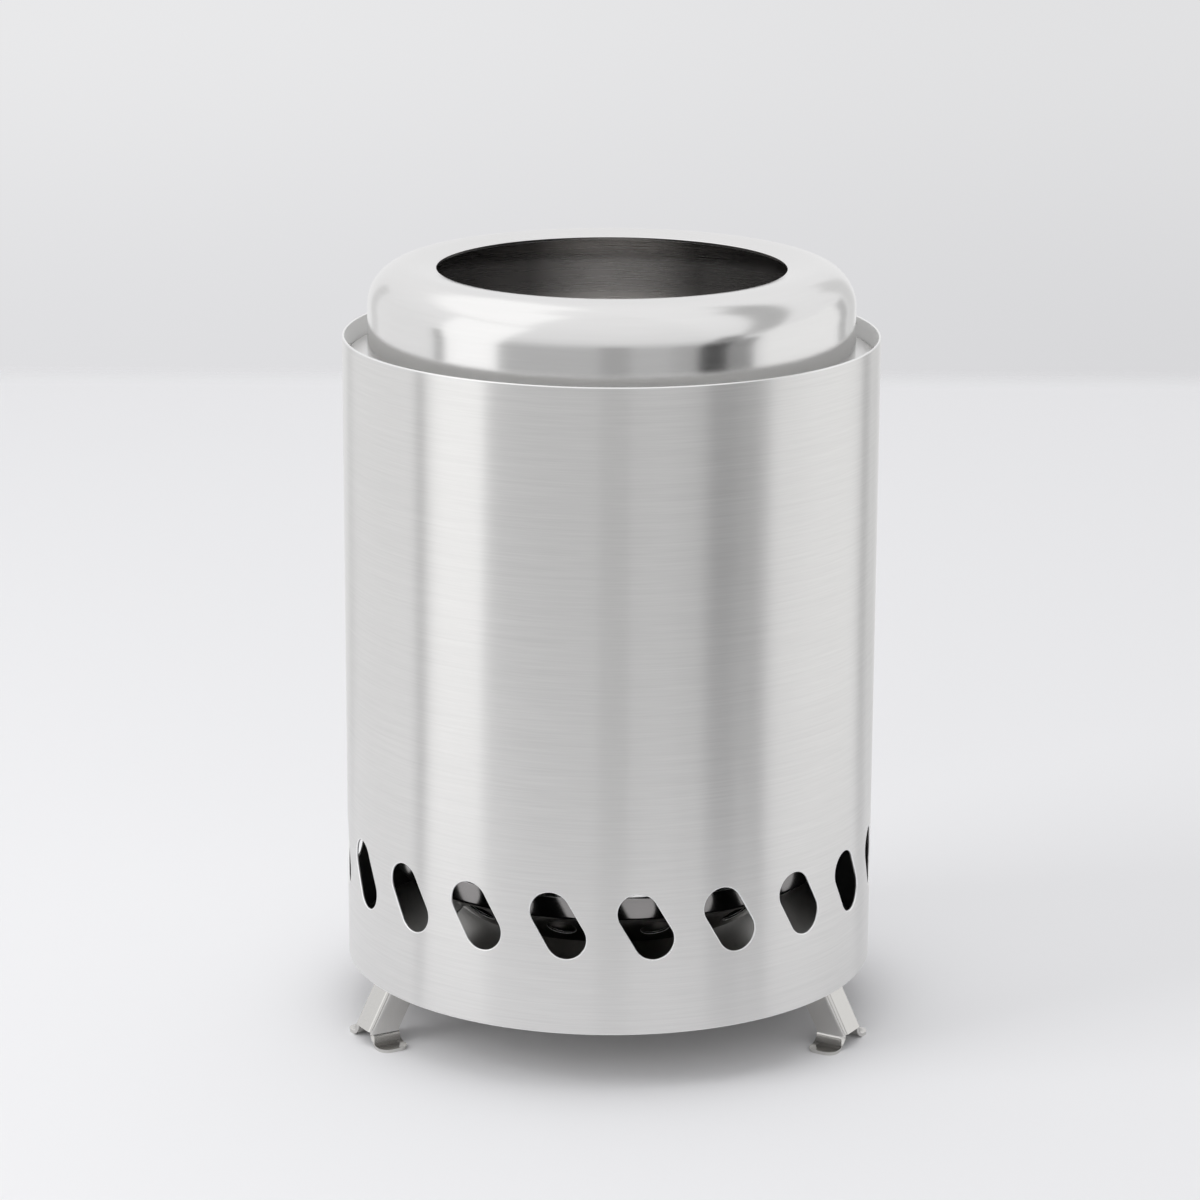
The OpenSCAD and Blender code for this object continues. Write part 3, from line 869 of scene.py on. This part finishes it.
def leg_patches(v, top_r, top_z):
    """Middle surface of one leg that stands along +X, as a list of patches.

    The channel's path starts at one side plate's back edge and runs round a bend, over the web and back. A
    point of it that is s behind the web's outer face lies, at a height z, at top_r + (top_z - z) tan(splay)
    - s / cos(splay), so the plates stay upright while the web leans. Under the curl's height the plates turn
    outwards on a quarter circle and end in a flat lip. Its corners have a radius c, and the lip draws in by
    c - sqrt(c^2 - d^2) at the distance d past their start. At the top, the web folds in to a tab.
    """
    half = v.leg_sheet / 2
    bend = v.leg_bend - half
    side_y = v.leg_width / 2 - half
    plates, arc, web = 8, 8, 8

    def at(behind, sideways, z):
        """Points of the leg from their place behind the web's face, their place across and their height."""
        out = top_r + (top_z - z) * math.tan(v.leg_splay) - behind / math.cos(v.leg_splay)
        return np.stack(np.broadcast_arrays(out, sideways, z), -1)

    turn = np.linspace(0, math.pi / 2, arc + 1)
    behind = np.concatenate([
        np.linspace(v.leg_depth * math.cos(v.leg_splay), v.leg_bend, plates + 1)[:-1],
        v.leg_bend - bend * np.sin(turn),
    ])
    sideways = np.concatenate([np.full(plates, side_y), side_y - bend * (1 - np.cos(turn))])
    web_y = np.linspace(sideways[-1], -sideways[-1], web + 1)
    whole_behind = np.concatenate([behind, np.full(web - 1, half), behind[::-1]])
    whole_sideways = np.concatenate([sideways, web_y[1:-1], -sideways[::-1]])
    fold_z = top_z - 1.5 * v.leg_sheet
    z = np.linspace(v.curl, fold_z, 9)[:, None]
    patches = [patch(at(whole_behind, whole_sideways, z))]

    z = np.linspace(fold_z, top_z, 3)[:, None]
    patches += [patch(at(behind, side * sideways, z)) for side in (1, -1)]

    start, corner = at(half, 0, fold_z), at(half, 0, top_z - half)
    tab = [(start[0], fold_z), (corner[0], corner[2]), (top_r - v.tab_length, corner[2])]
    fold = filleted(tab, (bend,))
    patches.append(patch(np.stack(np.broadcast_arrays(fold[:, :1], web_y, fold[:, 1:]), -1)))

    curl = v.curl - half
    turn = np.linspace(0, math.pi / 2, 13)[:, None]
    reach = v.foot_reach + v.leg_sheet - v.curl
    past = v.foot_corner * np.sin(np.linspace(0, math.pi / 2, 9))[:, None]
    draw_in = v.foot_corner - np.sqrt(v.foot_corner**2 - past**2)
    out = np.concatenate([side_y + curl * (1 - np.cos(turn)), side_y + curl + reach - v.foot_corner + past])
    foot_z = np.concatenate([v.curl - curl * np.sin(turn), np.full_like(past, half)])
    fade = np.concatenate([np.cos(turn) ** 2, 0 * past])
    draw_in = np.concatenate([0 * turn, draw_in]) * math.cos(v.leg_splay)
    used = plates + arc // 2 + 1
    inset = side_y - sideways[:used]
    back, front = behind[0], behind[used - 1]
    squeezed = front + draw_in + (behind[:used] - front) * (1 - 2 * draw_in / (back - front))
    for side in (1, -1):
        points = at(squeezed, side * (out - inset * fade), v.curl)
        points[..., 2] = foot_z
        patches.append(patch(points))
    return patches


class STOVE_OT_stand(bpy.types.Operator):
    """Make the stand's ring and its three channel legs with curled feet"""

    bl_idname = "stove.stand"
    bl_label = "Stand"

    def execute(self, context):
        v = context.scene.twig_stove.stand
        low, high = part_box("stand_ring")
        half = v.ring_sheet / 2
        outside = outer_radius("stand_ring")
        inside = outside - v.ring_width + half
        corners = [(outside, high.z - half), (inside, high.z - half), (inside, low.z)]
        make_piece("stand_ring", filleted(corners, (v.ring_bend,)), v.ring_sheet, "stand", "stand_sheet")

        vertices, faces = joined(leg_patches(v, outside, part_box("leg_left")[1].z))
        legs = {"leg_left": -v.leg_spread, "leg_right": v.leg_spread, "leg_back": math.pi}
        for node, heading in legs.items():
            out = np.array([math.sin(heading), -math.cos(heading)])
            across = np.array([math.cos(heading), math.sin(heading)])
            placed = vertices.copy()
            placed[:, :2] = vertices[:, :1] * out + vertices[:, 1:2] * across + (0, AXIS_Y)
            sheet_piece(node, placed, faces, v.leg_sheet, "stand", "stand_sheet")
        return {"FINISHED"}


def floor_material(stage):
    """The floor's matt paint, which fades away at its border and can be seen through from below.

    In reflections it is a smaller table, past which they see the room. The distance to the border is
    measured by the eighth root of the sum of the eighth powers of x and y, a square with round corners.
    """
    s = Shader("studio_floor")
    place = s.node("ShaderNodeTexCoord").outputs["Object"]
    parts = s.node("ShaderNodeSeparateXYZ", {0: place}).outputs
    powers = [s.maths("POWER", s.maths("ABSOLUTE", parts[axis]), 8) for axis in "XY"]
    reach = s.maths("POWER", s.maths("ADD", *powers), 1 / 8)
    edge = s.ramp(reach, stage.floor_reach - stage.floor_fade, stage.floor_reach)
    below = s.node("ShaderNodeNewGeometry").outputs["Backfacing"]
    table = s.ramp(reach, stage.near_floor, stage.far_floor)
    past = s.maths("MULTIPLY", table, s.node("ShaderNodeLightPath").outputs["Is Glossy Ray"])
    clear = s.maths("MAXIMUM", s.maths("MAXIMUM", edge, below), past)
    paint = s.node("ShaderNodeBsdfDiffuse", {"Color": (*stage.floor_colour, 1)}).outputs[0]
    return s.output(s.mixed(clear, paint, s.node("ShaderNodeBsdfTransparent").outputs[0]))


def beside(heading, distance, height):
    """A point at a heading, from the front towards the right, and a distance from the stove's axis."""
    return Vector((distance * math.sin(heading), AXIS_Y - distance * math.cos(heading), height))


def add_lamp(name, place, target, size, radiance):
    """A soft rectangular lamp that faces a point, of a given radiance on its face. No reflection shows it."""
    data = bpy.data.lights.new(name, "AREA")
    data.shape = "RECTANGLE"
    data.size, data.size_y = size
    data.energy = radiance * math.pi * size[0] * size[1]
    lamp = bpy.data.objects.new(name, data)
    lamp.location = place
    lamp.rotation_euler = (target - place).to_track_quat("-Z", "Y").to_euler()
    lamp.visible_glossy = False
    bpy.context.scene.collection.objects.link(lamp)


def add_surface(name, vertices, faces, material, unseen_by=()):
    """Adds a surface of the studio, which the given kinds of rays pass by, and returns its mesh."""
    mesh = bpy.data.meshes.new(name)
    mesh.from_pydata(vertices, [], faces)
    mesh.materials.append(material)
    surface = bpy.data.objects.new(name, mesh)
    for kind in unseen_by:
        setattr(surface, "visible_" + kind, False)
    bpy.context.scene.collection.objects.link(surface)
    return mesh


def add_panel(name, corners, radiance, soft, distance=1.1, middle=0.13):
    """A panel of the room that only reflections see, of a given radiance, with a soft border.

    It is part of a sphere round the stove, whose middle is at a given height. Its corners, the two lower
    ones and then the two upper ones from the left, are each a heading and an elevation in degrees, and
    between them both change evenly. The glow rises over the angle soft from the border by 3 t^2 - 2 t^3.
    """
    (a, b), (c, d), (e, f), (g, h) = corners
    even = np.linspace(0, 1, 49)
    across, up = np.meshgrid(even, even)
    heading = np.radians((1 - up) * (a + (c - a) * across) + up * (e + (g - e) * across))
    lift = np.radians((1 - up) * (b + (d - b) * across) + up * (f + (h - f) * across))
    points = np.stack([
        distance * np.sin(heading) * np.cos(lift), AXIS_Y - distance * np.cos(heading) * np.cos(lift),
        middle + distance * np.sin(lift),
    ], -1)
    width = max((c - a) + (g - e), 1) / 2
    height = max((f - b) + (h - d), 1) / 2
    inward = np.minimum(np.minimum(across, 1 - across) * width, np.minimum(up, 1 - up) * height) / soft
    inward = np.clip(inward, 0, 1)
    s = Shader(name)
    share_of = s.node("ShaderNodeAttribute", attribute_name="glow").outputs["Fac"]
    material = s.output(s.mixed(share_of, s.node("ShaderNodeBsdfTransparent").outputs[0], s.glow(radiance)))
    mesh = add_surface(name, *patch(points), material, ("camera", "diffuse", "shadow"))
    glow = mesh.attributes.new("glow", "FLOAT", "POINT")
    glow.data.foreach_set("value", (inward**2 * (3 - 2 * inward)).ravel())


def add_wall_bounce(radiance, gap=0.001):
    """The light that the steel wall throws back on the floor round it, which only the floor sees.

    It is a tube close round the outer wall, at the wall's radius plus the gap.
    """
    r = outer_radius("outer_wall") + gap
    vertices, faces = turned(np.array([(r, WALL_LOW.z + gap), (r, WALL_HIGH.z)]), 96)
    s = Shader("wall_bounce")
    add_surface("wall_bounce", vertices, faces, s.output(s.glow(radiance)),
                ("camera", "glossy", "transmission", "shadow"))


BACKDROP_RISE = (-0.203, -0.113)  # heights of a look between which the low colour turns to the high one
BACKDROP_SIDES = (-0.15, 0.15, 1.03, 0.955)  # from the left side to the right, and the shade at each: painted light and shade, brighter towards the left lamp
FRONT_HEIGHTS = (-0.20, 0.26)  # heights of a look between which the front's dimming goes
FRONT_DIM_HIGH = 0.04  # the dimming that is left high up
FRONT_CORE = 0.75  # share of the front's spread that is dimmed in full
CEILING = (0.2, 0.9, 1, 1.1)  # heights of a look over which the room brightens, and the shade at each


def studio_world(stage):
    """The room: a pale backdrop that lifts with height for direct looks and reflections, and a plain fill.

    Reflections see the room greyer towards the front, where nothing pale stands.
    """
    s = Shader("studio", "worlds")
    bpy.context.scene.world = s.owner
    look = s.node("ShaderNodeTexCoord").outputs["Generated"]
    parts = s.node("ShaderNodeSeparateXYZ", {0: look}).outputs
    lift = s.ramp(parts["Z"], *BACKDROP_RISE)
    backdrop = s.blend(lift, (*stage.backdrop_low, 1), (*stage.backdrop_high, 1))
    # painted shade: the backdrop that the camera sees darkens from left to right, away from the left lamp
    backdrop = s.scaled(backdrop, s.ramp(parts["X"], *BACKDROP_SIDES))

    level = s.vector("NORMALIZE", s.vector("MULTIPLY", look, (1, 1, 0)))
    towards = (math.sin(stage.front_heading), -math.cos(stage.front_heading), 0)
    agree = s.node("ShaderNodeVectorMath", {0: level, 1: towards}, operation="DOT_PRODUCT").outputs["Value"]
    front = s.ramp(agree, math.cos(stage.front_spread), math.cos(stage.front_spread * FRONT_CORE))
    dimming = s.ramp(parts["Z"], *FRONT_HEIGHTS, stage.front_dim, FRONT_DIM_HIGH)
    ceiling = s.ramp(parts["Z"], *CEILING, "LINEAR")
    shade = s.maths("SUBTRACT", ceiling, s.maths("MULTIPLY", front, dimming))
    room = s.scaled(tuple(stage.room_colour), shade)

    rays = s.node("ShaderNodeLightPath").outputs
    reflected = s.maths("MAXIMUM", rays["Is Glossy Ray"], rays["Is Transmission Ray"])
    sees = s.maths("MAXIMUM", rays["Is Camera Ray"], reflected)
    seen = s.blend(rays["Is Camera Ray"], room, backdrop)
    shown = s.node("ShaderNodeBackground", {"Color": seen, "Strength": 1.0}).outputs[0]
    plain = {"Color": (*stage.room_colour, 1), "Strength": stage.fill}
    fill = s.node("ShaderNodeBackground", plain).outputs[0]
    s.node("ShaderNodeOutputWorld", {"Surface": s.mixed(sees, fill, shown)})


class STOVE_OT_stage(bpy.types.Operator):
    """Set up the floor, the room's light and the camera"""

    bl_idname = "stove.stage"
    bl_label = "Studio"

    def execute(self, context):
        scene = context.scene
        v = scene.twig_stove.stage
        scene.view_settings.view_transform = "Standard"

        corners = v.floor_reach * np.array([(-1, -1), (1, -1), (1, 1), (-1, 1)])
        add_surface("floor", np.column_stack([corners, np.zeros(4)]), [(0, 1, 2, 3)], floor_material(v))

        middle = Vector((0, AXIS_Y, 0.09))
        add_lamp("overhead_softbox", Vector((-0.10, 0.45, 1.35)), middle, (2.0, 1.9), v.overhead)
        add_lamp("left_softbox", beside(v.left_heading, 1.15, 0.65), middle, (0.6, 1.3), v.left)
        add_lamp("front_softbox", beside(v.front_heading, 1.3, 0.42), middle, (1.5, 0.8), v.front)
        low = -30  # elevation of most panels' lower ends
        for name, corners, radiance, soft in (
            ("left_softbox_face", ((-80, low), (-58, low), (-88, 40), (-39, 40)), v.left_face, 2),
            ("left_softbox_frame", ((-89, low), (-82, low), (-89, 8), (-82, 8)), 0.42, 1.5),
            ("ceiling_glow", ((-170, 38), (-40, 36), (-170, 80), (-40, 80)), 1.16, 10),
            ("flag", ((34, low), (49, low), (41, 4), (59, 4)), v.flag, 2),
            ("flag_top", ((41, 3), (59, 3), (52, 15), (67, 15)), 0.22, 2),
            ("flag_side", ((48, low), (65, low), (58, 6), (71, 8)), 0.30, 2),
            ("ceiling_gap", ((56, 8), (72, 8), (88, 66), (150, 66)), 0.52, 9),
            ("front_shade", ((22, low), (36, low), (26, 3), (43, 3)), 0.44, 6),
            ("tripod", ((-5, low), (9, low), (-6, 3), (9, 3)), 0.40, 2),
            ("right_wall", ((71, low), (130, low), (71, 20), (130, 20)), v.right_wall, 4),
            ("right_door", ((129, low), (142, low), (129, 14), (142, 14)), 0.52, 3),
            ("right_far_wall", ((141, low), (161, low), (141, 30), (161, 30)), 0.70, 5),
            ("left_far_door", ((-152, low), (-139, low), (-152, 20), (-139, 20)), 0.70, 4),
        ):
            add_panel(name, corners, radiance, soft)
        add_wall_bounce(v.wall_bounce)
        studio_world(v)

        camera = bpy.data.cameras.new("camera")
        camera.lens = v.camera_lens
        camera.sensor_width = 36
        viewer = bpy.data.objects.new("camera", camera)
        turn = Matrix.Rotation(v.camera_yaw, 4, "Z") @ Matrix.Rotation(math.pi / 2 - v.camera_pitch, 4, "X")
        place = Matrix.Translation((0, AXIS_Y - v.camera_distance, v.camera_height))
        viewer.matrix_world = place @ turn @ Matrix.Rotation(v.camera_roll, 4, "Z")
        scene.collection.objects.link(viewer)
        scene.camera = viewer
        return {"FINISHED"}


OPERATORS = (
    STOVE_OT_outer_wall, STOVE_OT_gutter, STOVE_OT_inner_wall, STOVE_OT_ember_cup, STOVE_OT_flame_ring,
    STOVE_OT_fire_grate, STOVE_OT_ash_pan, STOVE_OT_base_plate, STOVE_OT_stand, STOVE_OT_stage,
)


class VIEW3D_PT_twig_stove(bpy.types.Panel):
    """Sidebar panel with the stove's sizes and the buttons that make its pieces"""

    bl_label = "Twig stove"
    bl_category = "Twig stove"
    bl_space_type = "VIEW_3D"
    bl_region_type = "UI"

    def draw(self, context):
        settings = context.scene.twig_stove
        for group in SIZE_GROUPS:
            box = self.layout.box()
            box.label(text=group.capitalize())
            for key in SIZE_GROUPS[group].__annotations__:
                box.prop(getattr(settings, group), key)
        for operator in OPERATORS:
            self.layout.operator(operator.bl_idname)


CLASSES = (*SIZE_GROUPS.values(), StoveSettings, *OPERATORS, VIEW3D_PT_twig_stove)


def register():
    """Registers the classes and the scene's settings."""
    for item in CLASSES:
        bpy.utils.register_class(item)
    bpy.types.Scene.twig_stove = PointerProperty(type=StoveSettings)


def unregister():
    """Removes the settings and the classes."""
    del bpy.types.Scene.twig_stove
    for item in reversed(CLASSES):
        bpy.utils.unregister_class(item)


def main():
    """Makes the studio and every piece."""
    register()
    bpy.ops.stove.stage()
    bpy.ops.stove.outer_wall()
    bpy.ops.stove.gutter()
    bpy.ops.stove.inner_wall()
    bpy.ops.stove.ember_cup()
    bpy.ops.stove.flame_ring()
    bpy.ops.stove.fire_grate()
    bpy.ops.stove.ash_pan()
    bpy.ops.stove.base_plate()
    bpy.ops.stove.stand()


if __name__ == "__main__":
    main()
